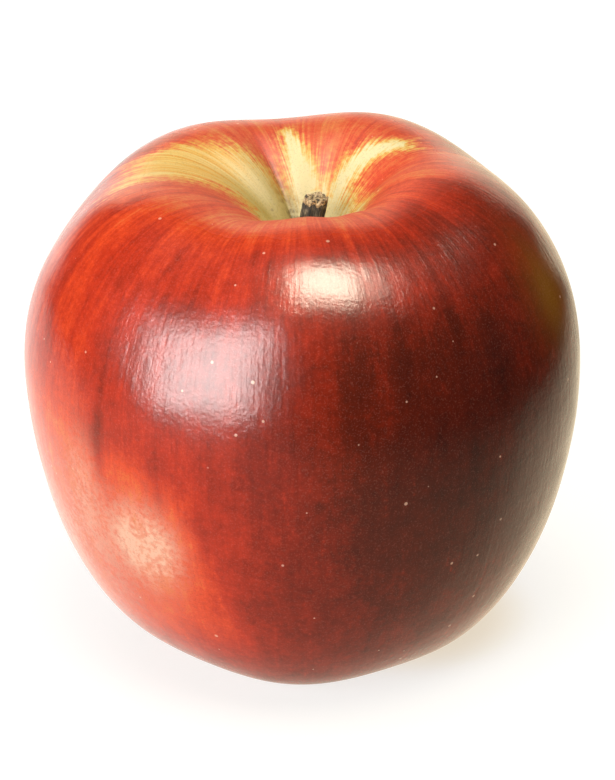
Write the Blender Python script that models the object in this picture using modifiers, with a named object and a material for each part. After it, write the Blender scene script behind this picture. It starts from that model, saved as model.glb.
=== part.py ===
"""A whole apple standing on its own feet, with its stem and its dried calyx.

Units are metres and +Z is up. The origin is under the middle of the fruit, on the
surface that it stands on. Seen from -Y, +X is to the right.
"""

import math

import bmesh
import bpy

# Overall sizes of the fruit
FRUIT_WIDTH = 0.0800
FRUIT_DEPTH = 0.0785
FRUIT_HEIGHT = 0.0725
EQUATOR_HEIGHT = 0.0420
BODY_LEAN = 0.0012

# Stem cavity, in the top
CREST_RADIUS = 0.0195
CAVITY_DEPTH = 0.0150
CAVITY_SHIFT = 0.0013
CAVITY_POWER = 2.0

# Stem
STEM_RADIUS = 0.00155
STEM_LENGTH = 0.0116
STEM_LEAN = 0.0012
STEM_FLARE = 1.14
STEM_FLARE_START = 0.3
SOCKET_DEPTH = 0.0020

# Calyx basin, in the underside
RESTING_RADIUS = 0.0188
RESTING_WIDTH = 0.0018
BASIN_DEPTH = 0.0090
BASIN_POWER = 1.7
TUBE_RADIUS = 0.0017
TUBE_DEPTH = 0.0030

# Dried calyx leaves and the dried stamens among them; the tuft's widths are shares of its
# full width
SEPAL_COUNT = 5
SEPAL_LENGTH = 0.0055
SEPAL_WIDTH = 0.0024
SEPAL_THICKNESS = 0.0004
SEPAL_CURL = 0.0014
SEPAL_TAPER = 0.85
SEPAL_TAPER_POWER = 1.6
SEPAL_RING_GAP = 0.0009
TUFT_OVERHANG = 0.0022
TUFT_ROOT_WIDTH = 0.7
TUFT_WAIST_WIDTH = 0.85
TUFT_BRUSH_WIDTH = 0.95
TUFT_BRUSH_HEIGHT = 0.2
TUFT_TIP_WIDTH = 0.5

# Five soft lobes, strongest round the underside
LOBE_COUNT = 5
LOBE_TURN = math.radians(60)
LOBE_TWIST = math.radians(-10)
LOBE_AT_EQUATOR = 0.0003
LOBE_AT_CREST = 0.0005
LOBE_AT_BASE = 0.0002
CREST_DIP = 0.0010
CREST_TILT = 0.0016
CREST_TILT_TURN = math.radians(30)
FOOT_LIFT = 0.0006
FOOT_PRESS = 0.0002

# Fullness of the flanks: 2 is an ellipse, less is leaner
SHOULDER_POWER = 2.0
FLANK_POWER = 1.8

# Clearance between pieces that touch
FIT_GAP = 0.0003

# Mesh resolution
COLUMNS = 60
TUFT_COLUMNS = 12
SHOULDER_STEPS = 12
FLANK_STEPS = 12
CAVITY_STEPS = 9
BASIN_STEPS = 8
STEM_POINTS = 9
STEM_SIDES = 4
SEPAL_ACROSS = 4
SEPAL_ALONG = 6
MERGE_DISTANCE = 0.000001
SHARP_ANGLE = math.radians(50)

HALF_WIDTH = FRUIT_WIDTH / 2
SOCKET_RADIUS = STEM_RADIUS + FIT_GAP
CAVITY_FLOOR = FRUIT_HEIGHT - CAVITY_DEPTH
SOCKET_FLOOR = CAVITY_FLOOR - SOCKET_DEPTH
BASIN_RIM = RESTING_RADIUS - RESTING_WIDTH
TUBE_TOP = BASIN_DEPTH + TUBE_DEPTH


def clear_scene():
    for item in list(bpy.data.objects):
        bpy.data.objects.remove(item, do_unlink=True)


def smooth_share(value, low, high):
    """0 below low, 1 above high, and a soft step between them."""
    share = min(max((value - low) / (high - low), 0.0), 1.0)
    return share * share * (3 - 2 * share)


def quarter_arc(inner, outer, pole_height, equator_height, power, steps):
    """Points of a quarter superellipse, from its pole round to its equator."""
    points = []
    for step in range(steps + 1):
        turn = math.pi / 2 * step / steps
        radius = inner + (outer - inner) * math.sin(turn) ** (2 / power)
        height = equator_height + (pole_height - equator_height) * math.cos(turn) ** (2 / power)
        points.append((radius, height))
    return points


def lean_at(height):
    """How far to +X the fruit's middle line stands at this height."""
    return BODY_LEAN * (EQUATOR_HEIGHT - height) / FRUIT_HEIGHT


def cavity_height(radius):
    """Height of the stem cavity's wall at this distance from its middle."""
    share = (CREST_RADIUS - radius) / (CREST_RADIUS - SOCKET_RADIUS)
    return FRUIT_HEIGHT - CAVITY_DEPTH * share**CAVITY_POWER


def basin_height(radius):
    """Height of the calyx basin's wall at this distance from its middle."""
    share = (BASIN_RIM - radius) / (BASIN_RIM - TUBE_RADIUS)
    return BASIN_DEPTH * share**BASIN_POWER - FOOT_PRESS


def fruit_profile():
    """The turned outline, from the stem socket over the shoulder to the calyx tube."""
    points = [(0.0, SOCKET_FLOOR), (SOCKET_RADIUS, SOCKET_FLOOR)]
    for step in range(CAVITY_STEPS):
        radius = SOCKET_RADIUS + (CREST_RADIUS - SOCKET_RADIUS) * step / CAVITY_STEPS
        points.append((radius, cavity_height(radius)))
    points += quarter_arc(
        CREST_RADIUS, HALF_WIDTH, FRUIT_HEIGHT, EQUATOR_HEIGHT, SHOULDER_POWER, SHOULDER_STEPS
    )
    flank = quarter_arc(
        RESTING_RADIUS, HALF_WIDTH, -FOOT_PRESS, EQUATOR_HEIGHT, FLANK_POWER, FLANK_STEPS
    )
    points += flank[-2::-1]
    for step in range(BASIN_STEPS + 1):
        radius = BASIN_RIM + (TUBE_RADIUS - BASIN_RIM) * step / BASIN_STEPS
        points.append((radius, basin_height(radius)))
    points += [(TUBE_RADIUS, TUBE_TOP), (0.0, TUBE_TOP)]
    return points


def shape_point(point):
    """Moves a point of the turned fruit to its place on the lobed, uneven one."""
    radius = math.hypot(point.x, point.y)
    turn = math.atan2(point.y, point.x)
    twist = LOBE_TWIST * (1 - smooth_share(point.z, 0.0, EQUATOR_HEIGHT))
    wave = math.cos(LOBE_COUNT * (turn - LOBE_TURN - twist))
    above = smooth_share(point.z, EQUATOR_HEIGHT, FRUIT_HEIGHT)
    below = 1 - smooth_share(point.z, 0.0, EQUATOR_HEIGHT)
    crest = above * smooth_share(radius, SOCKET_RADIUS, CREST_RADIUS)
    base = below * smooth_share(radius, BASIN_RIM / 2, BASIN_RIM)
    body = smooth_share(radius, CREST_RADIUS, HALF_WIDTH)

    lobe = LOBE_AT_CREST * crest + LOBE_AT_BASE * base + LOBE_AT_EQUATOR * body
    grown = 1 + lobe * wave / max(radius, SOCKET_RADIUS)
    point.x *= grown
    point.y *= grown
    point.y *= 1 + (FRUIT_DEPTH / FRUIT_WIDTH - 1) * body

    tilt = (1 - math.cos(turn - CREST_TILT_TURN)) / 2
    point.z -= crest * (CREST_DIP * (1 - wave) / 2 + CREST_TILT * tilt)
    point.z += base**4 * FOOT_LIFT * (1 - wave) / 2
    point.z = max(point.z, 0.0)

    inside = 1 - smooth_share(radius, SOCKET_RADIUS, CREST_RADIUS)
    if point.z > EQUATOR_HEIGHT:
        point.x += CAVITY_SHIFT * inside
    point.x += lean_at(point.z)


def plain_material(name, colour, roughness):
    material = bpy.data.materials.new(name)
    material.use_nodes = True
    shader = material.node_tree.nodes["Principled BSDF"]
    shader.inputs["Base Color"].default_value = (*colour, 1.0)
    shader.inputs["Roughness"].default_value = roughness
    shader.inputs["Metallic"].default_value = 0.0
    return material


def add_object(name, data, collection, material):
    item = bpy.data.objects.new(name, data)
    item.data.materials.append(material)
    collection.objects.link(item)
    return item


def finish_mesh(builder, name):
    """Closes the seams of a bmesh, turns its faces outwards and returns it as a mesh."""
    bmesh.ops.remove_doubles(builder, verts=builder.verts, dist=MERGE_DISTANCE)
    bmesh.ops.recalc_face_normals(builder, faces=builder.faces)
    mesh = bpy.data.meshes.new(name)
    builder.to_mesh(mesh)
    builder.free()
    mesh.shade_smooth()
    mesh.set_sharp_from_angle(angle=SHARP_ANGLE)
    return mesh


def turned_builder(points, steps):
    """A bmesh of the outline of (radius, height) points, turned once round the Z axis."""
    builder = bmesh.new()
    corners = [builder.verts.new((radius, 0.0, height)) for radius, height in points]
    edges = [builder.edges.new(pair) for pair in zip(corners, corners[1:])]
    bmesh.ops.spin(
        builder,
        geom=corners + edges,
        cent=(0, 0, 0),
        axis=(0, 0, 1),
        angle=math.tau,
        steps=steps,
        use_merge=True,
    )
    return builder


def add_fruit(collection, material):
    builder = turned_builder(fruit_profile(), COLUMNS)
    bmesh.ops.remove_doubles(builder, verts=builder.verts, dist=MERGE_DISTANCE)
    for corner in builder.verts:
        shape_point(corner.co)
    return add_object("fruit", finish_mesh(builder, "fruit"), collection, material)


def add_stem(collection, material):
    """A tapered stalk that starts in the socket, leans a little and widens at its cut end."""
    curve = bpy.data.curves.new("stem", "CURVE")
    curve.dimensions = "3D"
    curve.bevel_depth = STEM_RADIUS
    curve.bevel_resolution = STEM_SIDES
    curve.use_fill_caps = True
    spline = curve.splines.new("POLY")
    spline.points.add(STEM_POINTS - 1)
    for index, point in enumerate(spline.points):
        share = index / (STEM_POINTS - 1)
        height = SOCKET_FLOOR + FIT_GAP + STEM_LENGTH * share
        across = CAVITY_SHIFT + lean_at(height) + STEM_LEAN * share**2
        point.co = (across, 0.0, height, 1.0)
        point.radius = 1 + (STEM_FLARE - 1) * smooth_share(share, STEM_FLARE_START, 1.0)
    return add_object("stem", curve, collection, material)


def add_sepal(number, collection, material):
    """A pointed dry leaf that hangs from the rim of the calyx tube and curls out at its tip."""
    builder = bmesh.new()
    bmesh.ops.create_grid(
        builder, x_segments=SEPAL_ACROSS, y_segments=SEPAL_ALONG, size=0.5
    )
    ring_radius = TUBE_RADIUS + SEPAL_RING_GAP
    top = basin_height(ring_radius + SEPAL_THICKNESS) - FIT_GAP - SEPAL_THICKNESS / 2
    turn = LOBE_TURN + LOBE_TWIST + math.tau * (number - 1) / SEPAL_COUNT
    for corner in builder.verts:
        along = corner.co.y + 0.5
        half_width = SEPAL_WIDTH / 2 * (1 - SEPAL_TAPER * along**SEPAL_TAPER_POWER)
        across = 2 * corner.co.x * half_width
        outward = ring_radius + SEPAL_CURL * along**2 - across**2 / (2 * ring_radius)
        height = top - SEPAL_LENGTH * along
        corner.co = (
            outward * math.cos(turn) - across * math.sin(turn) + lean_at(height),
            outward * math.sin(turn) + across * math.cos(turn),
            height,
        )
    sepal = add_object(
        f"sepal_{number}", finish_mesh(builder, "sepal"), collection, material
    )
    thickness = sepal.modifiers.new("thickness", "SOLIDIFY")
    thickness.thickness = SEPAL_THICKNESS
    thickness.offset = 0.0
    return sepal


def add_stamens(collection, material):
    """The withered stamens and styles, one dry tuft that fills the calyx tube."""
    width = TUBE_RADIUS - FIT_GAP
    top = TUBE_TOP - FIT_GAP
    mouth = BASIN_DEPTH
    tip = BASIN_DEPTH - TUFT_OVERHANG
    points = [
        (0.0, top),
        (width * TUFT_ROOT_WIDTH, top),
        (width, (top + mouth) / 2),
        (width, mouth),
        (width * TUFT_WAIST_WIDTH, (mouth + tip) / 2),
        (width * TUFT_BRUSH_WIDTH, tip + TUFT_OVERHANG * TUFT_BRUSH_HEIGHT),
        (width * TUFT_TIP_WIDTH, tip),
        (0.0, tip),
    ]
    builder = turned_builder(points, TUFT_COLUMNS)
    for corner in builder.verts:
        corner.co.x += lean_at(corner.co.z)
    return add_object(
        "dried_stamens", finish_mesh(builder, "dried_stamens"), collection, material
    )


def main():
    clear_scene()
    collection = bpy.data.collections.new("apple")
    bpy.context.scene.collection.children.link(collection)
    skin = plain_material("skin", (0.42, 0.03, 0.02), 0.25)
    bark = plain_material("bark", (0.10, 0.07, 0.045), 0.85)
    dry_leaf = plain_material("dry_leaf", (0.16, 0.10, 0.055), 0.9)
    dry_filament = plain_material("dry_filament", (0.09, 0.055, 0.03), 0.9)

    add_fruit(collection, skin)
    add_stem(collection, bark)
    for number in range(1, SEPAL_COUNT + 1):
        add_sepal(number, collection, dry_leaf)
    add_stamens(collection, dry_filament)


main()
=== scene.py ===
import math

import bmesh
import bpy
from mathutils import Matrix, Vector, noise


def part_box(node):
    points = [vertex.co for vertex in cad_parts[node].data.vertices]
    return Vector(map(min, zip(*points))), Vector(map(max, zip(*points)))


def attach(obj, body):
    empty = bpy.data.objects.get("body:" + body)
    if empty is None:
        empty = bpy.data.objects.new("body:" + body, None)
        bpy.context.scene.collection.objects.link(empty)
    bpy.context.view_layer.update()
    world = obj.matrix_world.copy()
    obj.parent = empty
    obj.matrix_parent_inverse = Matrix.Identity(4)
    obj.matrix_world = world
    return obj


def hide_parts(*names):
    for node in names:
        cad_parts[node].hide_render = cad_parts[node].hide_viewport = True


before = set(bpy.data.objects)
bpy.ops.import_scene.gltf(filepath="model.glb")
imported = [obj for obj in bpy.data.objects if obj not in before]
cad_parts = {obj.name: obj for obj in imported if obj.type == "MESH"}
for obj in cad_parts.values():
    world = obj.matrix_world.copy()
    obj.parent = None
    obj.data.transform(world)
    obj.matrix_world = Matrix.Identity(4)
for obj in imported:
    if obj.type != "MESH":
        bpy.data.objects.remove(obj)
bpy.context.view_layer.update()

mm = 0.001  # every length below is in metres, so 5 * mm is 5 millimetres
weldDistance = 1e-7  # points nearer than this are one point


def clamp(value, low=0.0, high=1.0):
    return max(low, min(high, value))


def softStep(value, low, high):
    share = clamp((value - low) / (high - low))
    return share * share * (3 - 2 * share)


def bump(turn, middle, width):
    # 1 at the azimuth middle, falling softly to both sides; all three in degrees
    away = (turn - middle + 180) % 360 - 180
    return math.exp(-(away / width) ** 2)


def meshPiece(builder, name, material):
    # closes seams and poles, turns the faces outwards and makes the object
    bmesh.ops.remove_doubles(builder, verts=builder.verts, dist=weldDistance)
    bmesh.ops.recalc_face_normals(builder, faces=builder.faces)
    mesh = bpy.data.meshes.new(name)
    builder.to_mesh(mesh)
    builder.free()
    mesh.shade_smooth()
    piece = bpy.data.objects.new(name, mesh)
    bpy.context.scene.collection.objects.link(piece)
    mesh.materials.append(material)
    return piece


def turnOutline(outline, columns):
    # spins a list of (radius, height) once round Z, and keeps on every point its direction
    # and how far along the outline it lies
    builder = bmesh.new()
    place = builder.verts.layers.float_vector.new("place")
    along = 0.0
    last = None
    corners = []
    for radius, height in outline:
        here = Vector((radius, 0, height))
        along += (here - last).length if last else 0.0
        last = here
        corner = builder.verts.new(here)
        corner[place] = Vector((0, 0, along))
        corners.append(corner)
    edges = [builder.edges.new(pair) for pair in zip(corners, corners[1:])]
    bmesh.ops.spin(builder, geom=corners + edges, cent=(0, 0, 0), axis=(0, 0, 1),
                   angle=math.tau, steps=columns, use_merge=True)
    bmesh.ops.remove_doubles(builder, verts=builder.verts, dist=weldDistance)
    for corner in builder.verts:
        flat = Vector((corner.co.x, corner.co.y, 0))
        if flat.length > weldDistance:
            flat.normalize()
        corner[place] = Vector((flat.x, flat.y, corner[place].z))
    return builder


def newGroup(name, inputs, outputs):
    tree = bpy.data.node_groups.new(name, "ShaderNodeTree")
    for label, kind, value in inputs:
        socket = tree.interface.new_socket(name=label, in_out="INPUT", socket_type=kind)
        if value is not None:
            socket.default_value = value
    for label, kind in outputs:
        tree.interface.new_socket(name=label, in_out="OUTPUT", socket_type=kind)
    return tree, tree.nodes.new("NodeGroupInput"), tree.nodes.new("NodeGroupOutput")


def addNode(tree, kind, **settings):
    node = tree.nodes.new(kind)
    for key, value in settings.items():
        setattr(node, key, value)
    return node


def feed(tree, socket, source):
    # a node's first output, a socket or a plain value goes into the socket
    if isinstance(source, bpy.types.Node):
        source = source.outputs[0]
    if isinstance(source, bpy.types.NodeSocket):
        tree.links.new(source, socket)
    else:
        socket.default_value = source


def mathNode(tree, operation, first, second=None, third=None, clampIt=False):
    node = addNode(tree, "ShaderNodeMath", operation=operation, use_clamp=clampIt)
    for socket, source in zip(node.inputs, (first, second, third)):
        if source is not None:
            feed(tree, socket, source)
    return node.outputs[0]


def rangeNode(tree, value, low, high, toLow=0.0, toHigh=1.0):
    node = addNode(tree, "ShaderNodeMapRange", interpolation_type="SMOOTHSTEP")
    for socket, source in zip(node.inputs, (value, low, high, toLow, toHigh)):
        feed(tree, socket, source)
    return node.outputs[0]


def mixColour(tree, share, first, second):
    node = addNode(tree, "ShaderNodeMix", data_type="RGBA")
    feed(tree, node.inputs[0], share)
    feed(tree, node.inputs[6], first)
    feed(tree, node.inputs[7], second)
    return node.outputs[2]


def rampNode(tree, value, stops):
    node = addNode(tree, "ShaderNodeValToRGB")
    ramp = node.color_ramp
    while len(ramp.elements) < len(stops):
        ramp.elements.new(0.5)
    for element, (position, colour) in zip(ramp.elements, stops):
        element.position = position
        element.color = (*colour, 1.0)
    feed(tree, node.inputs[0], value)
    return node.outputs[0]


def streakGroup():
    # streaks that run along a turned piece: many across, few along, and never a seam
    tree, source, result = newGroup(
        "streaks",
        [("Place", "NodeSocketVector", None), ("Across", "NodeSocketFloat", 14.0),
         ("Along", "NodeSocketFloat", 60.0), ("Wander", "NodeSocketFloat", 0.03),
         ("Detail", "NodeSocketFloat", 4.0), ("Seed", "NodeSocketFloat", 0.0)],
        [("Value", "NodeSocketFloat")])
    split = addNode(tree, "ShaderNodeSeparateXYZ")
    feed(tree, split.inputs[0], source.outputs["Place"])
    sway = addNode(tree, "ShaderNodeTexNoise", noise_dimensions="4D")
    feed(tree, sway.inputs["Vector"], source.outputs["Place"])
    feed(tree, sway.inputs["W"], source.outputs["Seed"])
    sway.inputs["Scale"].default_value = 3.0
    sway.inputs["Detail"].default_value = 1.0
    push = addNode(tree, "ShaderNodeVectorMath", operation="SUBTRACT")
    feed(tree, push.inputs[0], sway.outputs["Color"])
    push.inputs[1].default_value = (0.5, 0.5, 0.5)
    swayed = addNode(tree, "ShaderNodeVectorMath", operation="SCALE")
    feed(tree, swayed.inputs[0], push)
    feed(tree, swayed.inputs["Scale"], source.outputs["Wander"])
    moved = addNode(tree, "ShaderNodeVectorMath", operation="ADD")
    feed(tree, moved.inputs[0], source.outputs["Place"])
    feed(tree, moved.inputs[1], swayed)
    parts = addNode(tree, "ShaderNodeSeparateXYZ")
    feed(tree, parts.inputs[0], moved)
    joined = addNode(tree, "ShaderNodeCombineXYZ")
    places = (parts.outputs[0], parts.outputs[1], split.outputs[2])
    for socket, value, label in zip(joined.inputs, places, ("Across", "Across", "Along")):
        feed(tree, socket, mathNode(tree, "MULTIPLY", value, source.outputs[label]))
    grain = addNode(tree, "ShaderNodeTexNoise", noise_dimensions="4D")
    feed(tree, grain.inputs["Vector"], joined)
    feed(tree, grain.inputs["W"], source.outputs["Seed"])
    feed(tree, grain.inputs["Detail"], source.outputs["Detail"])
    grain.inputs["Scale"].default_value = 1.0
    grain.inputs["Roughness"].default_value = 0.55
    feed(tree, result.inputs["Value"], grain.outputs[0])
    return tree


def speckGroup():
    # small round specks scattered over a surface, some larger, some missing
    tree, source, result = newGroup(
        "specks",
        [("Vector", "NodeSocketVector", None), ("Spacing", "NodeSocketFloat", 3.0 * mm),
         ("Size", "NodeSocketFloat", 0.3 * mm), ("Share", "NodeSocketFloat", 0.5)],
        [("Value", "NodeSocketFloat")])
    scale = mathNode(tree, "DIVIDE", 1.0, source.outputs["Spacing"])
    cells = addNode(tree, "ShaderNodeTexVoronoi", feature="F1")
    feed(tree, cells.inputs["Vector"], source.outputs["Vector"])
    feed(tree, cells.inputs["Scale"], scale)
    split = addNode(tree, "ShaderNodeSeparateColor")
    feed(tree, split.inputs[0], cells.outputs["Color"])
    there = mathNode(tree, "LESS_THAN", split.outputs[0], source.outputs["Share"])
    size = mathNode(tree, "MULTIPLY", source.outputs["Size"],
                    rangeNode(tree, split.outputs[1], 0.0, 1.0, 0.5, 1.2))
    away = mathNode(tree, "DIVIDE", cells.outputs["Distance"],
                    mathNode(tree, "MULTIPLY", size, scale))
    dot = rangeNode(tree, away, 0.6, 1.0, 1.0, 0.0)
    feed(tree, result.inputs["Value"], mathNode(tree, "MULTIPLY", dot, there))
    return tree


def mottleGroup():
    # soft cloudy patches between 0 and 1, with its own contrast
    tree, source, result = newGroup(
        "mottle",
        [("Vector", "NodeSocketVector", None), ("Size", "NodeSocketFloat", 5.0 * mm),
         ("Detail", "NodeSocketFloat", 3.0), ("Contrast", "NodeSocketFloat", 1.0)],
        [("Value", "NodeSocketFloat")])
    cloud = addNode(tree, "ShaderNodeTexNoise")
    feed(tree, cloud.inputs["Vector"], source.outputs["Vector"])
    feed(tree, cloud.inputs["Scale"], mathNode(tree, "DIVIDE", 1.0, source.outputs["Size"]))
    feed(tree, cloud.inputs["Detail"], source.outputs["Detail"])
    centred = mathNode(tree, "SUBTRACT", cloud.outputs[0], 0.5)
    feed(tree, result.inputs["Value"],
         mathNode(tree, "MULTIPLY_ADD", centred, source.outputs["Contrast"], 0.5, clampIt=True))
    return tree


streaks = streakGroup()
specks = speckGroup()
mottle = mottleGroup()


def useGroup(tree, group, **inputs):
    node = addNode(tree, "ShaderNodeGroup", node_tree=group)
    for key, value in inputs.items():
        feed(tree, node.inputs[key], value)
    return node.outputs[0]


def newMaterial(name):
    material = bpy.data.materials.new(name)
    material.use_nodes = True
    tree = material.node_tree
    shader = tree.nodes["Principled BSDF"]
    return material, tree, shader


def bumpNode(tree, height, distance, normal=None):
    node = addNode(tree, "ShaderNodeBump")
    node.inputs["Strength"].default_value = 1.0
    node.inputs["Distance"].default_value = distance
    feed(tree, node.inputs["Height"], height)
    if normal is not None:
        feed(tree, node.inputs["Normal"], normal)
    return node.outputs[0]


fruit = {
    "width": 80.0 * mm,
    "depth": 78.5 * mm,
    "height": 72.5 * mm,
    "equator": 42.0 * mm,
    "lean": 1.2 * mm,  # the foot of the fruit stands this far to +X of its crown
    "crestRadius": 19.5 * mm,
    "cavityDepth": 15.0 * mm,
    "cavityShift": 1.3 * mm,
    "stemHole": 1.85 * mm,
    "collar": 1.65 * mm,
    "restingRadius": 18.8 * mm,
    "restingWidth": 1.8 * mm,
    "basinDepth": 9.0 * mm,
    "basinPower": 1.7,
    "tubeRadius": 1.7 * mm,
    "tubeDepth": 3.0 * mm,
    "shoulderPower": 2.0,
    "flankPower": 1.8,
    "lobes": 5,
    "lobeTurn": math.radians(60),
    "lobeTwist": math.radians(-10),
    "lobeAtEquator": 0.3 * mm,
    "lobeAtCrest": 0.5 * mm,
    "lobeAtBase": 0.2 * mm,
    "crestDip": 1.0 * mm,
    "crestTilt": 1.6 * mm,
    "crestTiltTurn": math.radians(30),
    "footLift": 0.6 * mm,
    "footPress": 0.2 * mm,
    "clearance": 0.02 * mm,  # the feet stand this far off the floor's face
    "cavityFold": 0.45 * mm,
    "creaseTurn": 113,  # both in degrees
    "creaseWidth": 7,
    "basinPleat": 0.35 * mm,
    "swell": 0.16 * mm,  # slow unevenness of the whole surface
    "columns": 288,
    "cavityRows": 34,
    "shoulderRows": 44,
    "flankRows": 46,
    "basinRows": 30,
}


def leanAt(height):
    return fruit["lean"] * (fruit["equator"] - height) / fruit["height"]


def cavityHeight(radius):
    share = (fruit["crestRadius"] - radius) / (fruit["crestRadius"] - fruit["stemHole"])
    return fruit["height"] - fruit["cavityDepth"] * share ** 2


def basinHeight(radius):
    rim = fruit["restingRadius"] - fruit["restingWidth"]
    share = (rim - radius) / (rim - fruit["tubeRadius"])
    return fruit["basinDepth"] * share ** fruit["basinPower"] - fruit["footPress"]


def quarterArc(inner, outer, poleHeight, power, rows):
    points = []
    for row in range(rows + 1):
        turn = math.pi / 2 * row / rows
        radius = inner + (outer - inner) * math.sin(turn) ** (2 / power)
        rise = (poleHeight - fruit["equator"]) * max(math.cos(turn), 0) ** (2 / power)
        points.append((radius, fruit["equator"] + rise))
    return points


def fruitOutline():
    halfWidth = fruit["width"] / 2
    floor = fruit["height"] - fruit["cavityDepth"]
    # the skin closes under the foot of the stem, in a small collar
    points = [(0.0, floor - 1.6 * mm), (0.8 * mm, floor - 1.5 * mm), (1.3 * mm, floor - 1.0 * mm)]
    collar = fruit["collar"]
    for row in range(fruit["cavityRows"]):
        radius = collar + (fruit["crestRadius"] - collar) * row / fruit["cavityRows"]
        points.append((radius, cavityHeight(max(radius, fruit["stemHole"]))))
    points += quarterArc(fruit["crestRadius"], halfWidth, fruit["height"],
                         fruit["shoulderPower"], fruit["shoulderRows"])
    points += quarterArc(fruit["restingRadius"], halfWidth, -fruit["footPress"],
                         fruit["flankPower"], fruit["flankRows"])[-2::-1]
    rim = fruit["restingRadius"] - fruit["restingWidth"]
    for row in range(fruit["basinRows"] + 1):
        radius = rim + (fruit["tubeRadius"] - rim) * row / fruit["basinRows"]
        points.append((radius, basinHeight(radius)))
    top = fruit["basinDepth"] + fruit["tubeDepth"]
    points += [(fruit["tubeRadius"] * 0.9, fruit["basinDepth"] + 1.2 * mm),
               (fruit["tubeRadius"] * 0.85, top), (0.0, top)]
    return points


def fruitPoint(point):
    radius = math.hypot(point.x, point.y)
    turn = math.atan2(point.y, point.x)
    twist = fruit["lobeTwist"] * (1 - softStep(point.z, 0, fruit["equator"]))
    wave = math.cos(fruit["lobes"] * (turn - fruit["lobeTurn"] - twist))
    crestRadius = fruit["crestRadius"]
    halfWidth = fruit["width"] / 2
    rim = fruit["restingRadius"] - fruit["restingWidth"]
    above = softStep(point.z, fruit["equator"], fruit["height"])
    below = 1 - softStep(point.z, 0, fruit["equator"])
    crest = above * softStep(radius, fruit["stemHole"], crestRadius)
    base = below * softStep(radius, rim / 2, rim)
    body = softStep(radius, crestRadius, halfWidth)
    upper = point.z > fruit["equator"]
    start = point.copy()

    lobe = fruit["lobeAtCrest"] * crest + fruit["lobeAtBase"] * base
    lobe += fruit["lobeAtEquator"] * body
    grown = 1 + lobe * wave / max(radius, fruit["stemHole"])
    # slow swells over the whole skin, none at the feet, the stem hole or the calyx tube
    calm = softStep(radius, 3 * mm, 9 * mm) * softStep(point.z, 0, 6 * mm)
    swell = noise.noise(start / (21 * mm)) + 0.35 * noise.noise(start / (8 * mm))
    grown += fruit["swell"] * swell * calm / max(radius, fruit["stemHole"])
    point.x *= grown
    point.y *= grown * (1 + (fruit["depth"] / fruit["width"] - 1) * body)

    tilt = (1 - math.cos(turn - fruit["crestTiltTurn"])) / 2
    point.z -= crest * (fruit["crestDip"] * (1 - wave) / 2 + fruit["crestTilt"] * tilt)
    if upper:
        # furrows run down the wall of the stem cavity, between soft folds
        wall = softStep(radius, 2.2 * mm, 6 * mm) * (1 - softStep(radius, 10 * mm, crestRadius))
        fold = 0.7 * wave + 0.5 * math.cos(8 * turn + 1.1) + 0.3 * math.cos(13 * turn + 0.4)
        fold -= 2.8 * bump(math.degrees(turn), fruit["creaseTurn"], fruit["creaseWidth"])
        point.z += fruit["cavityFold"] * wall * fold
        point.x += fruit["cavityShift"] * (1 - softStep(radius, fruit["stemHole"], crestRadius))
    elif radius < rim:
        # the basin's wall is drawn into pleats round the dried flower
        wall = softStep(radius, 2.0 * mm, 4.5 * mm) * (1 - softStep(radius, 8 * mm, rim))
        pleat = 0.6 * math.cos(10 * turn + 0.6) + 0.4 * math.cos(7 * turn) + 0.5 * wave
        point.z += fruit["basinPleat"] * wall * pleat
    point.z += base ** 4 * fruit["footLift"] * (1 - wave) / 2
    if radius > fruit["tubeRadius"]:
        point.z = max(point.z, fruit["clearance"])
    point.x += leanAt(point.z)


# Where the yellow ground colour shows: near the stem all round, and in wedges that run out
# from it. A wedge has its two edge azimuths at the stem, the two at its far end, how far out
# that end lies, and how soft its edge is.
groundWedges = {
    "leftShoulder": ((116, 173), (160, 183), 26.0 * mm, 2.8 * mm),
    "backTongue": ((78, 107), (94, 99), 17.5 * mm, 1.4 * mm),
    "rightStreak": ((44, 66), (25, 33), 19.5 * mm, 1.8 * mm),
}
groundReach = 8.0 * mm
groundSoftness = 2.8 * mm


def groundCover(turn, radius):
    # how far outside the yellow ground a point lies, in widths of the soft edge
    cover = (radius - groundReach) / groundSoftness
    for nearEdges, farEdges, end, softness in groundWedges.values():
        out = clamp((radius - groundReach) / (end - groundReach))
        low, high = (near + (far - near) * out for near, far in zip(nearEdges, farEdges))
        turned = abs((turn - (low + high) / 2 + 180) % 360 - 180)
        beside = math.radians(turned - (high - low) / 2) * radius
        cover = min(cover, max(beside, (radius - end) * 0.7) / softness)
    return cover


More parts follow.
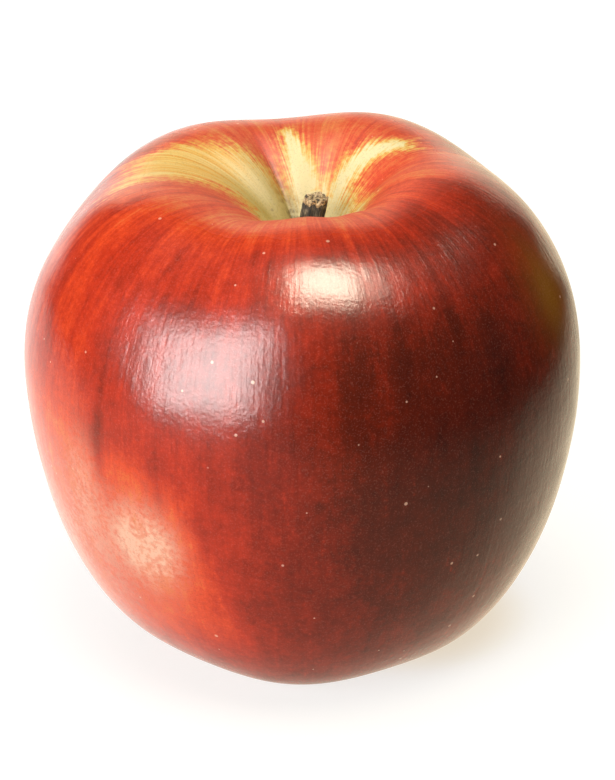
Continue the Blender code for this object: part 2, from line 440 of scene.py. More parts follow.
# How deep the red is round the fruit: an azimuth, a half-width in degrees, a height, a
# half-height, and what it adds
tonePatches = {
    # deeper red on the right: partly the sun-blushed side, partly painted shade where that side
    # gets less light
    "blushAndShadeSide": (-54, 46, 38 * mm, 28 * mm, 0.29),
    "farSide": (30, 60, 38 * mm, 38 * mm, 0.14),
    "brightShoulder": (-165, 50, 60 * mm, 20 * mm, -0.09),
    "scarletShoulder": (-160, 42, 70 * mm, 9 * mm, -0.07),
    # painted shade: the red is deepened where the window lamp's highlight falls
    "shadeUnderWindow": (-115, 15, 58 * mm, 8 * mm, 0.13),
    # paler low and middle on the left: partly the skin's own coral, partly painted light where
    # the window and the floor light that flank
    "lowerLeft": (-142, 40, 26 * mm, 20 * mm, -0.16),
    "middleLeft": (-118, 32, 34 * mm, 16 * mm, -0.11),
    "shadedBack": (120, 50, 30 * mm, 25 * mm, -0.06),
    "leftRun": (-134.5, 1.5, 42 * mm, 9 * mm, 0.20),
    "middleRun": (-120, 1.4, 38 * mm, 9 * mm, 0.16),
    "frontRun": (-81, 2.2, 53 * mm, 8 * mm, 0.08),
    "rightRun": (-68, 2.4, 59 * mm, 7 * mm, 0.11),
    "shoulderRun": (-53, 2.2, 62 * mm, 6 * mm, 0.12),
    "sideRun": (-44, 2.6, 56 * mm, 9 * mm, 0.08),
    "frontShoulder": (-60, 16, 67.5 * mm, 3.5 * mm, -0.13),
    "betweenLights": (-105, 9, 67 * mm, 4 * mm, -0.10),
    # painted shade: the red deepens low on the front, towards the floor
    "lowerFrontShade": (-98, 26, 14 * mm, 20 * mm, 0.055),
}
toneBase = 0.62
rimTone = 0.355  # how deep the red is round the rim of the cavity
leftRimTone = 0.37  # and on the rim's left
coralDrop = 0.16  # how much paler the skin is low on its left
palestTone = 0.385  # and the palest that it gets there

# Washed, peach-coloured places low on the fruit, given in the same way
palePatches = {
    "peachPatch": (-125, 8, 27.5 * mm, 6 * mm, 0.95),
    "peachTail": (-141, 5, 35 * mm, 8 * mm, 0.25),
    # partly a real peach wash, partly painted light from the floor and the window on the lower
    # left
    "lowerLeft": (-150, 19, 22 * mm, 14 * mm, 0.36),
    "leftEdge": (-172, 18, 34 * mm, 14 * mm, 0.12),
    "backCheek": (140, 30, 22 * mm, 14 * mm, 0.10),
}
olivePatch = (-20, 8, 58.5 * mm, 6.5 * mm, 1.0)


def patchAt(patch, turn, height):
    middle, width, level, half, strength = patch
    return strength * bump(turn, middle, width) * math.exp(-((height - level) / half) ** 2)


def toneAt(turn, radius, height):
    tone = toneBase + sum(patchAt(patch, turn, height) for patch in tonePatches.values())
    # a coral zone low on the left ends in a slanting edge, and fades out round the back
    around = turn % 360
    edge = 47 - 7 * softStep(around, 200, 225) - 34 * softStep(around, 238, 268)
    low = softStep(height / mm, 2, 18) * (1 - softStep(height / mm, edge - 8, edge + 5))
    tone -= coralDrop * low * softStep(around, 115, 178) * (1 - softStep(around, 248, 272))
    if height > fruit["equator"]:
        # the crown is paler, and least so towards the front right
        early = bump(turn, -35, 30)
        share = 1 - softStep(radius / mm, 17 - 3 * early, 31 - 3 * early)
        crown = rimTone + (leftRimTone - rimTone) * bump(turn, -145, 40)
        tone += (crown - tone) * share
        return tone
    return max(tone, palestTone)


def paintFruit(builder):
    # "ground" holds how far outside the yellow ground a point is, how olive that ground is
    # (darker on the cavity's left wall as painted shade) and how streaky the skin; "blush" holds
    # how deep the red is, how washed out, and how golden its ground; "finish" holds how matte it
    # is, how olive and how russeted, with painted shade down the crease
    place = builder.verts.layers.float_vector["place"]
    ground = builder.verts.layers.float_vector.new("ground")
    blush = builder.verts.layers.float_vector.new("blush")
    finish = builder.verts.layers.float_vector.new("finish")
    for corner in builder.verts:
        radius = math.hypot(corner.co.x, corner.co.y)
        turn = math.degrees(math.atan2(corner[place].y, corner[place].x))
        height = corner.co.z
        creaseRussetAndShade = 0.0
        if height > fruit["equator"]:
            cover = groundCover(turn, radius)
            # olive ground round the stem; its rise on the cavity's left wall is painted shade
            oliveGroundAndShade = 0.25 + 0.75 * bump(turn, 146, 42)
            oliveGroundAndShade *= 1 - softStep(radius, 5 * mm, 15 * mm)
            matte = 1 - softStep(radius, 14 * mm, 25 * mm)
            streaky = 0.60 + 0.35 * softStep(height, 50 * mm, 68 * mm)
            # russet, with painted shade, spreads round the foot of the crease, and painted shade
            # runs up it as a thin dark line in the russet colour
            crease = fruit["creaseTurn"]
            spread = bump(turn, crease, 12) * (1 - softStep(radius, 6 * mm, 10 * mm))
            creaseShadeLine = bump(turn, crease, 3.5) * (1 - softStep(radius, 9 * mm, 15 * mm))
            creaseRussetAndShade = max(spread, 0.7 * creaseShadeLine)
        else:
            matte = (1 - softStep(radius, 3 * mm, 13 * mm)) * (height < 14 * mm)
            cover = 1.6 - 2.4 * matte
            oliveGroundAndShade = matte
            streaky = 0.30 + 0.30 * softStep(height, 16 * mm, fruit["equator"])
        pale = sum(patchAt(patch, turn, height) for patch in palePatches.values())
        pale *= 1 - 0.8 * bump(turn, -110, 5.5)  # the peach patch stops short on its right
        gold = bump(turn, 160, 48) * softStep(radius, 6 * mm, 13 * mm)
        corner[ground] = Vector((clamp(cover, -2, 2), oliveGroundAndShade, streaky))
        corner[blush] = Vector((toneAt(turn, radius, height), pale, gold))
        corner[finish] = Vector((matte, patchAt(olivePatch, turn, height), creaseRussetAndShade))


# The skin's patterns, colours and gloss. A streak has how many lie across the fruit and
# along it, how far it wanders and its detail.
skin = {
    "broad": (6.5, 22.0, 0.14, 2.0),
    "stripes": (15.0, 44.0, 0.12, 3.0),
    "hairs": (52.0, 120.0, 0.07, 3.0),
    "cloudSize": 6.0 * mm,
    "blotSize": 2.2 * mm,
    "driftSize": 13.0 * mm,
    "grainSize": 0.75 * mm,
    "fleckSize": 0.24 * mm,
    "waveSize": 3.0 * mm,
    "poreSize": 0.5 * mm,
    "lenticelSpacing": 3.3 * mm,
    "lenticelSize": 0.28 * mm,
    "lenticelShare": 0.55,
    "russetSpacing": 0.9 * mm,
    "russetSize": 0.30 * mm,
    "russetShare": 0.4,
    "reds": [  # from bare yellow ground to the deepest red
        (0.00, (0.82, 0.73, 0.41)),
        (0.06, (0.80, 0.60, 0.22)),
        (0.13, (0.77, 0.43, 0.070)),
        (0.24, (0.73, 0.19, 0.045)),
        (0.38, (0.70, 0.062, 0.013)),
        (0.52, (0.48, 0.030, 0.008)),
        (0.66, (0.26, 0.017, 0.004)),
        (0.82, (0.105, 0.009, 0.002)),
        (1.00, (0.038, 0.005, 0.002)),
    ],
    "peach": (0.86, 0.50, 0.34, 1),
    "mostWashed": 0.92,
    "olive": (0.25, 0.095, 0.006, 1),
    "greenGroundAndShade": (0.44, 0.34, 0.060, 1),
    "paleFleck": (0.78, 0.30, 0.24, 1),
    "darkFleck": (0.12, 0.012, 0.006, 1),
    "lenticel": (0.86, 0.52, 0.36, 1),
    "lenticelStrength": 0.62,
    "russet": (0.15, 0.105, 0.035, 1),
    "smoothest": 0.18,
    "roughest": 0.26,
    "matteRoughness": 0.36,  # added on the wall of the cavity and in the basin
    "refraction": 1.45,
    "specular": 0.24,
    "coat": 0.11,
    "matteCoat": 0.05,
    "coatRoughness": 0.31,
    "waveDepth": 0.08 * mm,
    "poreDepth": 0.038 * mm,
    "hairDepth": 0.045 * mm,
    "lenticelDepth": 0.012 * mm,
}


def attributeParts(tree, name):
    split = addNode(tree, "ShaderNodeSeparateXYZ")
    feed(tree, split.inputs[0],
         addNode(tree, "ShaderNodeAttribute", attribute_name=name).outputs["Vector"])
    return split.outputs


def addUp(tree, total, *parts):
    # adds patterns to a value, each with its own strength
    for pattern, strength in parts:
        total = mathNode(tree, "MULTIPLY_ADD", pattern, strength, total)
    return total


def skinMaterial():
    material, tree, shader = newMaterial("skin")
    place = addNode(tree, "ShaderNodeAttribute", attribute_name="place").outputs["Vector"]
    here = addNode(tree, "ShaderNodeTexCoord").outputs["Object"]
    cover, oliveGroundAndShade, streaky = attributeParts(tree, "ground")
    tone, pale, gold = attributeParts(tree, "blush")
    matte, olive, creaseRussetAndShade = attributeParts(tree, "finish")

    # the red lies in streaks along the fruit, from broad stripes to hair lines
    broad, stripes, hairs = (
        useGroup(tree, streaks, Place=place, Across=across, Along=along, Wander=wander,
                 Detail=detail, Seed=seed)
        for (across, along, wander, detail), seed in (
            (skin["broad"], 0.0), (skin["stripes"], 4.0), (skin["hairs"], 9.0)))
    clouds, blots, drift, grain = (
        useGroup(tree, mottle, Vector=here, Size=size, Detail=detail, Contrast=contrast)
        for size, detail, contrast in (
            (skin["cloudSize"], 5.0, 1.7), (skin["blotSize"], 5.0, 1.6),
            (skin["driftSize"], 2.0, 2.6), (skin["grainSize"], 4.0, 2.0)))
    broadLine, stripeLine, hairLine, grainLine, cloudLine, blotLine = (
        mathNode(tree, "SUBTRACT", pattern, 0.5)
        for pattern in (broad, stripes, hairs, grain, clouds, blots))

    # flames of red lick into the yellow ground round the cavity
    flame = addUp(tree, cover, (broadLine, 0.6), (stripeLine, 1.5), (hairLine, 2.6),
                  (grainLine, 0.8))
    covered = rangeNode(tree, flame, -0.9, 1.2)

    # stripes come and go from place to place
    stripeStrength = rangeNode(tree, drift, 0.2, 0.8, 0.14, 0.44)
    lines = mathNode(tree, "MULTIPLY", broadLine, 0.34)
    lines = addUp(tree, lines, (stripeLine, stripeStrength), (hairLine, 0.32))
    lines = mathNode(tree, "MULTIPLY", lines, rangeNode(tree, tone, 0.5, 0.9, 1.0, 0.55))
    depth = addUp(tree, tone, (lines, streaky), (cloudLine, 0.12), (blotLine, 0.09),
                  (grainLine, 0.08))
    bare = mathNode(tree, "SUBTRACT", 1.0, covered)
    brushed = mathNode(tree, "ADD", stripeLine, hairLine)
    golden = mathNode(tree, "MULTIPLY", mathNode(tree, "MULTIPLY", gold, bare),
                      rangeNode(tree, brushed, -0.3, 0.3, 0.06, 0.17))
    red = mathNode(tree, "MULTIPLY_ADD", depth, covered, golden)
    colour = rampNode(tree, red, skin["reds"])
    blotched = addUp(tree, cloudLine, (stripeLine, 1.1), (grainLine, 0.8))
    washed = mathNode(tree, "MULTIPLY", pale, rangeNode(tree, blotched, -0.5, 0.5, 0.5, 1.5))
    washed = mathNode(tree, "MINIMUM", washed, skin["mostWashed"])
    colour = mixColour(tree, washed, colour, skin["peach"])
    oliveShare = mathNode(tree, "MULTIPLY", olive, rangeNode(tree, broad, 0.3, 0.6, 0.75, 1.0))
    colour = mixColour(tree, oliveShare, colour, skin["olive"])

    # the ground colour turns olive round the calyx and on the wall of the cavity, and darker
    # olive on its left wall as painted shade
    oliveAndShadeShare = mathNode(tree, "MULTIPLY", oliveGroundAndShade, rangeNode(tree, red, 0.05, 0.35, 1.0, 0.0))
    colour = mixColour(tree, mathNode(tree, "MULTIPLY", oliveAndShadeShare, 0.9), colour,
                       skin["greenGroundAndShade"])

    # a bloom of faint flecks, then the lenticels, then russet by the stem and painted shade along
    # the crease
    bloom = useGroup(tree, mottle, Vector=here, Size=skin["fleckSize"], Detail=2.0, Contrast=1.0)
    colour = mixColour(tree, rangeNode(tree, bloom, 0.50, 0.75, 0.0, 0.08), colour,
                       skin["paleFleck"])
    colour = mixColour(tree, rangeNode(tree, bloom, 0.48, 0.28, 0.0, 0.20), colour,
                       skin["darkFleck"])
    dots = useGroup(tree, specks, Vector=here, Spacing=skin["lenticelSpacing"],
                    Size=skin["lenticelSize"], Share=skin["lenticelShare"])
    colour = mixColour(tree, mathNode(tree, "MULTIPLY", dots, skin["lenticelStrength"]), colour,
                       skin["lenticel"])
    russet = useGroup(tree, specks, Vector=here, Spacing=skin["russetSpacing"],
                      Size=skin["russetSize"], Share=skin["russetShare"])
    russet = mathNode(tree, "MULTIPLY", russet, rangeNode(tree, oliveGroundAndShade, 0.3, 0.8, 0.0, 0.4))
    # the russet colour also paints shade down the crease and round its foot
    grainedRussetAndShade = mathNode(tree, "MULTIPLY", creaseRussetAndShade, rangeNode(tree, grain, 0.3, 0.7, 0.3, 0.9))
    colour = mixColour(tree, mathNode(tree, "MAXIMUM", russet, grainedRussetAndShade), colour, skin["russet"])

    feed(tree, shader.inputs["Base Color"], colour)
    rough = rangeNode(tree, clouds, 0.0, 1.0, skin["smoothest"], skin["roughest"])
    feed(tree, shader.inputs["Roughness"],
         mathNode(tree, "MULTIPLY_ADD", matte, skin["matteRoughness"], rough))
    shader.inputs["IOR"].default_value = skin["refraction"]
    shader.inputs["Specular IOR Level"].default_value = skin["specular"]
    feed(tree, shader.inputs["Coat Weight"],
         rangeNode(tree, matte, 0.0, 1.0, skin["coat"], skin["matteCoat"]))
    shader.inputs["Coat Roughness"].default_value = skin["coatRoughness"]
    # waxy skin: slow waves, fine brushed pores and raised lenticels
    waves = useGroup(tree, mottle, Vector=here, Size=skin["waveSize"], Detail=2.0, Contrast=1.0)
    pores = useGroup(tree, mottle, Vector=here, Size=skin["poreSize"], Detail=4.0, Contrast=1.0)
    relief = bumpNode(tree, waves, skin["waveDepth"])
    relief = bumpNode(tree, pores, skin["poreDepth"], normal=relief)
    relief = bumpNode(tree, hairs, skin["hairDepth"], normal=relief)
    relief = bumpNode(tree, dots, skin["lenticelDepth"], normal=relief)
    feed(tree, shader.inputs["Normal"], relief)
    return material


def makeFruit():
    builder = turnOutline(fruitOutline(), fruit["columns"])
    paintFruit(builder)
    for corner in builder.verts:
        fruitPoint(corner.co)
    piece = meshPiece(builder, "appleSkin", skinMaterial())
    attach(piece, "root")
    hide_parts("fruit")
    print("fruit made:", len(piece.data.polygons), "faces")


makeFruit()


stemLow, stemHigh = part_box("stem")
stem = {
    "foot": stemLow.z,
    "length": stemHigh.z - stemLow.z,
    "radius": 1.55 * mm,
    "flare": 1.12,
    "lean": 1.2 * mm,
    "ridges": 0.10,
    "jag": 0.55 * mm,
    "columns": 72,
    "rows": 40,
}


def stemOutline():
    length = stem["length"]
    points = [(0.0, 0.0), (0.6 * stem["radius"], 0.0)]
    for row in range(stem["rows"] + 1):
        share = row / stem["rows"]
        # thick where it leaves the fruit, then slim, then flared at the broken end
        radius = stem["radius"] * (1 + 0.10 * (1 - softStep(share, 0.0, 0.35)))
        radius *= 0.93 + (stem["flare"] - 0.93) * softStep(share, 0.55, 1.0)
        points.append((radius, length * (0.02 + 0.93 * share)))
    top = points[-1][0]
    for share in (0.93, 0.82, 0.68, 0.52, 0.36, 0.2):
        points.append((top * share, length * (0.975 - 0.04 * (1 - share))))
    points.append((0.0, length * 0.93))
    return points


def makeStem():
    builder = turnOutline(stemOutline(), stem["columns"])
    place = builder.verts.layers.float_vector["place"]
    cut = builder.verts.layers.float.new("cut")
    for corner in builder.verts:
        radius = math.hypot(corner.co.x, corner.co.y)
        turn = math.atan2(corner.co.y, corner.co.x)
        height = corner.co.z
        share = height / stem["length"]
        onTop = corner[place].z > stem["radius"] * 0.6 + stem["length"] * 0.955
        ring = Vector((math.cos(turn), math.sin(turn), height / (9 * mm)))
        sway = 0.5 * noise.noise(ring * 1.3)
        ridge = 0.5 * math.cos(6 * turn + 3 * sway) + 0.9 * noise.noise(ring * 2.6)
        ridge += 0.8 * noise.noise(Vector((ring.x * 6, ring.y * 6, ring.z * 1.5)))
        knot = 0.10 * bump(math.degrees(turn), -150, 50) * math.exp(-((share - 0.72) / 0.12) ** 2)
        grown = 1 + (stem["ridges"] * ridge + knot) * softStep(radius, 0.4 * mm, 1.5 * mm)
        corner.co.x *= grown
        corner.co.y *= grown
        # the broken end is jagged, with splinters left standing at its rim
        torn = softStep(share, 0.80, 0.95)
        jag = noise.noise(Vector((corner.co.x, corner.co.y, 0)) / (0.75 * mm))
        jag += 0.8 * noise.noise(Vector((corner.co.x, corner.co.y, 3 * mm)) / (0.33 * mm))
        corner.co.z += torn * stem["jag"] * clamp(jag, -1.2, 0.55)
        corner[cut] = softStep(share, 0.91, 0.955) if not onTop else 1.0
        lift = corner.co.z / stem["length"]
        corner.co.z += stem["foot"]
        corner.co.x += fruit["cavityShift"] + leanAt(corner.co.z) + stem["lean"] * lift ** 2
    piece = meshPiece(builder, "stemBark", barkMaterial())
    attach(piece, "root")
    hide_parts("stem")
    print("stem made:", len(piece.data.polygons), "faces")


def barkMaterial():
    material, tree, shader = newMaterial("bark")
    place = addNode(tree, "ShaderNodeAttribute", attribute_name="place").outputs["Vector"]
    here = addNode(tree, "ShaderNodeTexCoord").outputs["Object"]
    cut = addNode(tree, "ShaderNodeAttribute", attribute_name="cut").outputs["Fac"]
    fibres = useGroup(tree, streaks, Place=place, Across=9.0, Along=260.0, Wander=0.10,
                      Detail=5.0)
    flakes = useGroup(tree, mottle, Vector=here, Size=0.8 * mm, Detail=4.0, Contrast=2.0)
    mixed = mathNode(tree, "MULTIPLY_ADD", mathNode(tree, "SUBTRACT", fibres, 0.5), 2.2, flakes)
    bark = rampNode(tree, mixed, [
        (0.10, (0.018, 0.014, 0.010)),
        (0.45, (0.060, 0.046, 0.030)),
        (0.70, (0.16, 0.13, 0.085)),
        (1.00, (0.34, 0.29, 0.19)),
    ])
    wood = rampNode(tree, useGroup(tree, mottle, Vector=here, Size=0.42 * mm, Detail=4.0,
                                   Contrast=2.6), [
        (0.15, (0.055, 0.030, 0.012)),
        (0.42, (0.42, 0.27, 0.11)),
        (0.80, (0.80, 0.62, 0.36)),
    ])
    ragged = mathNode(tree, "MULTIPLY_ADD", mathNode(tree, "SUBTRACT", flakes, 0.5), 0.7, cut)
    feed(tree, shader.inputs["Base Color"],
         mixColour(tree, rangeNode(tree, ragged, 0.35, 0.65), bark, wood))
    feed(tree, shader.inputs["Roughness"], rangeNode(tree, fibres, 0.0, 1.0, 0.95, 0.7))
    shader.inputs["Specular IOR Level"].default_value = 0.3
    relief = bumpNode(tree, fibres, 0.35 * mm)
    relief = bumpNode(tree, flakes, 0.15 * mm, normal=relief)
    feed(tree, shader.inputs["Normal"], relief)
    return material


makeStem()


calyx = {
    "sepals": 5,
    "firstTurn": fruit["lobeTurn"] + fruit["lobeTwist"],
    "ring": 2.6 * mm,
    "width": 2.4 * mm,
    "taper": 0.92,
    "thickness": 0.22 * mm,
    "curl": 1.4 * mm,
    "crease": 0.22 * mm,
    "filaments": 20,
    "filament": 0.085 * mm,
    "anther": 0.26 * mm,
    "leafColours": ((0.030, 0.018, 0.009), (0.13, 0.085, 0.045), (0.34, 0.27, 0.16)),
    "leafGrain": 1.4 * mm,
    "filamentColours": ((0.016, 0.010, 0.006), (0.075, 0.045, 0.022), (0.22, 0.15, 0.075)),
    "filamentGrain": 0.5 * mm,
}


def dryMaterial(name, dark, middle, light, size):
    material, tree, shader = newMaterial(name)
    here = addNode(tree, "ShaderNodeTexCoord").outputs["Object"]
    clouds = useGroup(tree, mottle, Vector=here, Size=size, Detail=4.0, Contrast=2.2)
    fine = useGroup(tree, mottle, Vector=here, Size=size * 0.25, Detail=3.0, Contrast=2.0)
    mixed = mathNode(tree, "MULTIPLY_ADD", mathNode(tree, "SUBTRACT", fine, 0.5), 0.5, clouds)
    feed(tree, shader.inputs["Base Color"],
         rampNode(tree, mixed, [(0.15, dark), (0.5, middle), (0.9, light)]))
    feed(tree, shader.inputs["Roughness"], rangeNode(tree, fine, 0.0, 1.0, 0.95, 0.75))
    shader.inputs["Specular IOR Level"].default_value = 0.3
    relief = bumpNode(tree, clouds, 0.12 * mm)
    relief = bumpNode(tree, fine, 0.06 * mm, normal=relief)
    feed(tree, shader.inputs["Normal"], relief)
    return material


def makeSepals():
    leaf = dryMaterial("dryLeaf", *calyx["leafColours"], calyx["leafGrain"])
    for number in range(1, calyx["sepals"] + 1):
        low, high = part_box("sepal_%d" % number)
        turn = calyx["firstTurn"] + math.tau * (number - 1) / calyx["sepals"]
        outward = Vector((math.cos(turn), math.sin(turn), 0))
        sideways = Vector((-math.sin(turn), math.cos(turn), 0))
        builder = bmesh.new()
        bmesh.ops.create_grid(builder, x_segments=12, y_segments=22, size=0.5)
        for corner in builder.verts:
            down = corner.co.y + 0.5
            side = 2 * corner.co.x
            shrivel = noise.noise(Vector((side * 1.5, down * 3, number * 5.0)))
            half = calyx["width"] / 2 * (1 - calyx["taper"] * down ** 1.6)
            half *= 1 + 0.12 * noise.noise(Vector((side, down * 6, number * 9.0)))
            across = side * half
            # creased along its midrib, edges rolled in, tip curled out
            out = calyx["ring"] + calyx["curl"] * down ** 2 - across ** 2 / (2 * calyx["ring"])
            out += calyx["crease"] * (abs(side) - 0.5) * (1 - down) + 0.18 * mm * shrivel
            height = high.z - 0.2 * mm - (high.z - low.z - 0.4 * mm) * down
            height += 0.12 * mm * noise.noise(Vector((side * 2, down * 2, number * 3.0)))
            corner.co = outward * out + sideways * across + Vector((leanAt(height), 0, height))
        piece = meshPiece(builder, "sepal%d" % number, leaf)
        wall = piece.modifiers.new("thickness", "SOLIDIFY")
        wall.thickness = calyx["thickness"]
        wall.offset = 0.0
        smooth = piece.modifiers.new("smooth", "SUBSURF")
        smooth.levels = 1
        smooth.render_levels = 1
        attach(piece, "root")
        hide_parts("sepal_%d" % number)
    print("sepals made:", calyx["sepals"])


def makeStamens():
    low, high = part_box("dried_stamens")
    middle = (low + high) / 2
    reach = (high.x - low.x) / 2 - 0.15 * mm
    curve = bpy.data.curves.new("stamens", "CURVE")
    curve.dimensions = "3D"
    curve.bevel_depth = calyx["filament"]
    curve.bevel_resolution = 2
    curve.use_fill_caps = True
    golden = math.pi * (3 - math.sqrt(5))
    count = calyx["filaments"]
    steps = 11
    for number in range(count):
        spread = math.sqrt((number + 0.5) / count)
        turn = golden * number
        spline = curve.splines.new("POLY")
        spline.points.add(steps - 1)
        bend = 0.5 * math.sin(number * 2.3)
        tip = low.z + 0.25 * mm + 0.9 * mm * (0.5 + 0.5 * math.sin(number * 1.7)) * spread
        for index, point in enumerate(spline.points):
            share = index / (steps - 1)
            out = reach * spread * (0.55 + 0.40 * math.sin(share * math.pi * 0.9))
            away = turn + bend * share ** 2
            height = high.z - 0.1 * mm + (tip - high.z) * share
            point.co = (middle.x + out * math.cos(away) + leanAt(height) - leanAt(middle.z),
                        middle.y + out * math.sin(away), height, 1)
            swollen = math.exp(-((share - 0.93) / 0.06) ** 2)
            point.radius = 1 + (calyx["anther"] / calyx["filament"] - 1) * 0.7 * swollen
    piece = bpy.data.objects.new("stamenTuft", curve)
    bpy.context.scene.collection.objects.link(piece)
    curve.materials.append(dryMaterial("dryFilament", *calyx["filamentColours"],
                                       calyx["filamentGrain"]))
    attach(piece, "root")
    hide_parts("dried_stamens")
    print("stamens made:", count)


makeSepals()
makeStamens()


stage = {
    "floorSize": 8.0,
    "floorColour": (0.23, 0.25, 0.28, 1),
    "glowColour": (0.995, 0.98, 0.945, 1),
    "glow": 0.79,
    # painted shadow: a warm tint painted into the floor's glow where the fruit's shadow falls
    "paintedShadowColour": (0.92, 0.83, 0.67, 1),  # where the fruit's own shadow falls, at the front right
    "paintedShadowMiddle": (0.016, 0.0, 0),
    "paintedShadowNear": 0.011,
    "paintedShadowFar": 0.021,
    "bounce": 0.48,  # how much of that glow reaches the fruit from below
    "mirrorMiddle": (-0.12, 0.03, 0),
    "mirrorNear": 0.17,
    "mirrorFar": 0.36,
    "mirrorFront": 0.8,
    "mirrorBehind": 1.6,
    "mirrorLeft": (1.0, 0.93, 0.86, 1),
    "mirrorRight": (1.0, 0.86, 0.60, 1),
    "ambientColour": (1.0, 0.97, 0.93, 1),
    "ambient": 0.06,
    "backdropColour": (0.96, 0.96, 0.96, 1),
}


def makeFloor():
    builder = bmesh.new()
    bmesh.ops.create_grid(builder, x_segments=1, y_segments=1, size=stage["floorSize"] / 2)
    mesh = bpy.data.meshes.new("floor")
    builder.to_mesh(mesh)
    builder.free()
    floor = bpy.data.objects.new("floor", mesh)
    bpy.context.scene.collection.objects.link(floor)
    material, tree, shader = newMaterial("paleFloor")
    shader.inputs["Base Color"].default_value = stage["floorColour"]
    shader.inputs["Roughness"].default_value = 0.8
    path = addNode(tree, "ShaderNodeLightPath")
    dimmed = mathNode(tree, "MULTIPLY_ADD", path.outputs["Is Diffuse Ray"],
                      stage["bounce"] - 1, 1.0)
    feed(tree, shader.inputs["Emission Strength"],
         mathNode(tree, "MULTIPLY", dimmed, stage["glow"]))
    here = addNode(tree, "ShaderNodeTexCoord").outputs["Object"]
    apart = addNode(tree, "ShaderNodeVectorMath", operation="DISTANCE")
    feed(tree, apart.inputs[0], here)
    apart.inputs[1].default_value = stage["paintedShadowMiddle"]
    # the painted warm shadow, strongest near its middle
    paintedShadowShare = rangeNode(tree, apart.outputs["Value"], stage["paintedShadowNear"], stage["paintedShadowFar"],
                       1.0, 0.0)
    feed(tree, shader.inputs["Emission Color"],
         mixColour(tree, paintedShadowShare, stage["glowColour"], stage["paintedShadowColour"]))
    # what the skin mirrors is a small bright table: it fades out away from the fruit, and is
    # brighter behind it than before it
    away = addNode(tree, "ShaderNodeVectorMath", operation="DISTANCE")
    feed(tree, away.inputs[0], here)
    away.inputs[1].default_value = stage["mirrorMiddle"]
    fade = rangeNode(tree, away.outputs["Value"], stage["mirrorNear"], stage["mirrorFar"],
                     1.0, 0.0)
    split = addNode(tree, "ShaderNodeSeparateXYZ")
    feed(tree, split.inputs[0], here)
    behind = rangeNode(tree, split.outputs[1], -0.04, 0.015, stage["mirrorFront"],
                       stage["mirrorBehind"])
    beyond = mathNode(tree, "SUBTRACT", split.outputs[1],
                      mathNode(tree, "ABSOLUTE", split.outputs[0]))
    fade = mathNode(tree, "MAXIMUM", fade, rangeNode(tree, beyond, 0.0, 0.08))
    mirrored = addNode(tree, "ShaderNodeEmission")
    feed(tree, mirrored.inputs["Color"],
         mixColour(tree, rangeNode(tree, split.outputs[0], -0.05, 0.05), stage["mirrorLeft"],
                   stage["mirrorRight"]))
    feed(tree, mirrored.inputs["Strength"], mathNode(tree, "MULTIPLY", fade, behind))
    mix = addNode(tree, "ShaderNodeMixShader")
    feed(tree, mix.inputs[0], path.outputs["Is Glossy Ray"])
    feed(tree, mix.inputs[1], shader.outputs[0])
    feed(tree, mix.inputs[2], mirrored)
    feed(tree, tree.nodes["Material Output"].inputs["Surface"], mix)
    mesh.materials.append(material)


def softLight(name, towards, distance, size, colour, glow, shine, roll):
    # a flat panel that faces the fruit; one lamp of it only lights and one is only mirrored, and
    # the first hangs a little further out
    aim = Vector((0, 0, fruit["equator"]))
    further = distance * 1.1
    for part, energy, away in (
            ("Shine", math.pi * size[0] * size[1] * shine, distance),
            ("Glow", (math.pi * further) ** 2 * glow, further)):
        if not energy:
            continue
        data = bpy.data.lights.new(name + part, "AREA")
        data.shape = "RECTANGLE"
        data.size, data.size_y = size
        data.color = colour
        data.energy = energy
        lamp = bpy.data.objects.new(name + part, data)
        spot = Vector(towards).normalized() * away
        turned = (-spot).to_track_quat("-Z", "Y").to_matrix().to_4x4()
        rolled = Matrix.Rotation(math.radians(roll), 4, -spot)
        lamp.matrix_world = Matrix.Translation(aim + spot) @ rolled @ turned
        lamp.visible_glossy = part == "Shine"
        lamp.visible_diffuse = part == "Glow"
        bpy.context.scene.collection.objects.link(lamp)


def direction(azimuth, elevation):
    turn, rise = math.radians(azimuth), math.radians(elevation)
    return (math.cos(turn) * math.cos(rise), math.sin(turn) * math.cos(rise), math.sin(rise))


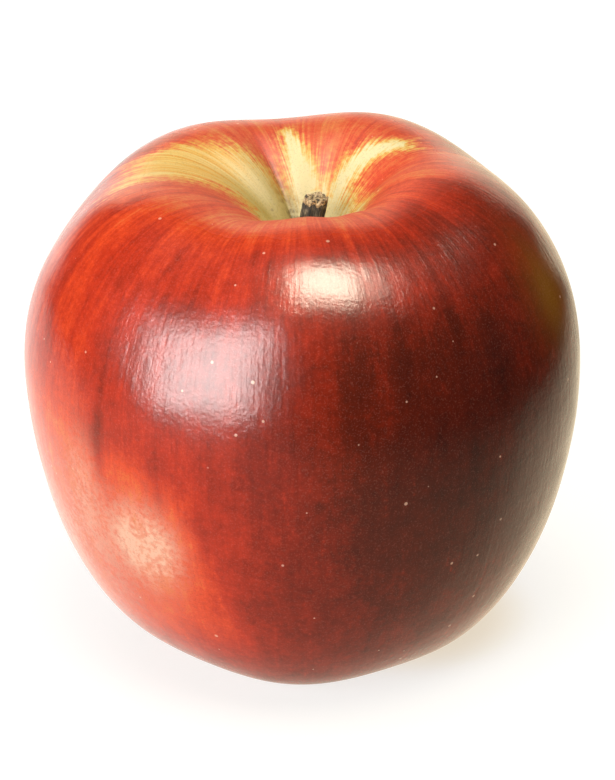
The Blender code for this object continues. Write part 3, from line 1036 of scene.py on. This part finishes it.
def makeWorld():
    world = bpy.data.worlds.new("studio")
    world.use_nodes = True
    tree = world.node_tree
    back = tree.nodes["Background"]
    back.inputs["Color"].default_value = stage["ambientColour"]
    back.inputs["Strength"].default_value = stage["ambient"]
    seen = addNode(tree, "ShaderNodeBackground")
    seen.inputs["Color"].default_value = stage["backdropColour"]
    path = addNode(tree, "ShaderNodeLightPath")
    mix = addNode(tree, "ShaderNodeMixShader")
    feed(tree, mix.inputs[0], path.outputs["Is Camera Ray"])
    feed(tree, mix.inputs[1], back)
    feed(tree, mix.inputs[2], seen)
    feed(tree, tree.nodes["World Output"].inputs["Surface"], mix)
    bpy.context.scene.world = world


# The lamps: where each one hangs as seen from the fruit, how far, its size, colour, how
# strongly it lights, how bright it looks in the skin, and its roll in degrees
lamps = {
    "window": (direction(-134.0, 16.2), 1.4, (0.84, 1.18), (1.0, 0.98, 0.97), 0.82, 31.0, -9),
    "overheadBar": ((0.131, -0.265, 1.0), 1.2, (0.78, 0.60), (1.0, 0.91, 0.71), 0.45, 56.0, 25),
    "sideBar": ((0.675, -0.112, 1.0), 1.2, (0.20, 0.54), (1.0, 0.90, 0.74), 0.0, 16.0, 52),
    "overhead": ((-0.25, 0.10, 1.0), 1.2, (1.0, 1.0), (1.0, 0.97, 0.92), 0.45, 0.0, 0),
    "back": (direction(84, 14), 1.6, (1.7, 0.75), (1.0, 0.82, 0.60), 0.15, 1.8, 0),
}


def makeLights():
    for name, settings in lamps.items():
        softLight(name, *settings)


camera = {
    "elevation": 26.0,
    "distance": 480 * mm,
    "lens": 152.2,
    "sensor": 36,
    "nearest": 10 * mm,
    "aim": (0.8 * mm, 0.0, 37.0 * mm),
}


def makeCamera():
    data = bpy.data.cameras.new("camera")
    data.lens = camera["lens"]
    data.sensor_width = camera["sensor"]
    data.clip_start = camera["nearest"]
    item = bpy.data.objects.new("camera", data)
    tilt = math.radians(camera["elevation"])
    aim = Vector(camera["aim"])
    item.location = aim + Vector((0, -math.cos(tilt), math.sin(tilt))) * camera["distance"]
    item.rotation_euler = (aim - item.location).to_track_quat("-Z", "Y").to_euler()
    bpy.context.scene.collection.objects.link(item)
    bpy.context.scene.camera = item
    bpy.context.scene.view_settings.view_transform = "Standard"


makeFloor()
makeWorld()
makeLights()
makeCamera()
print("stage set")
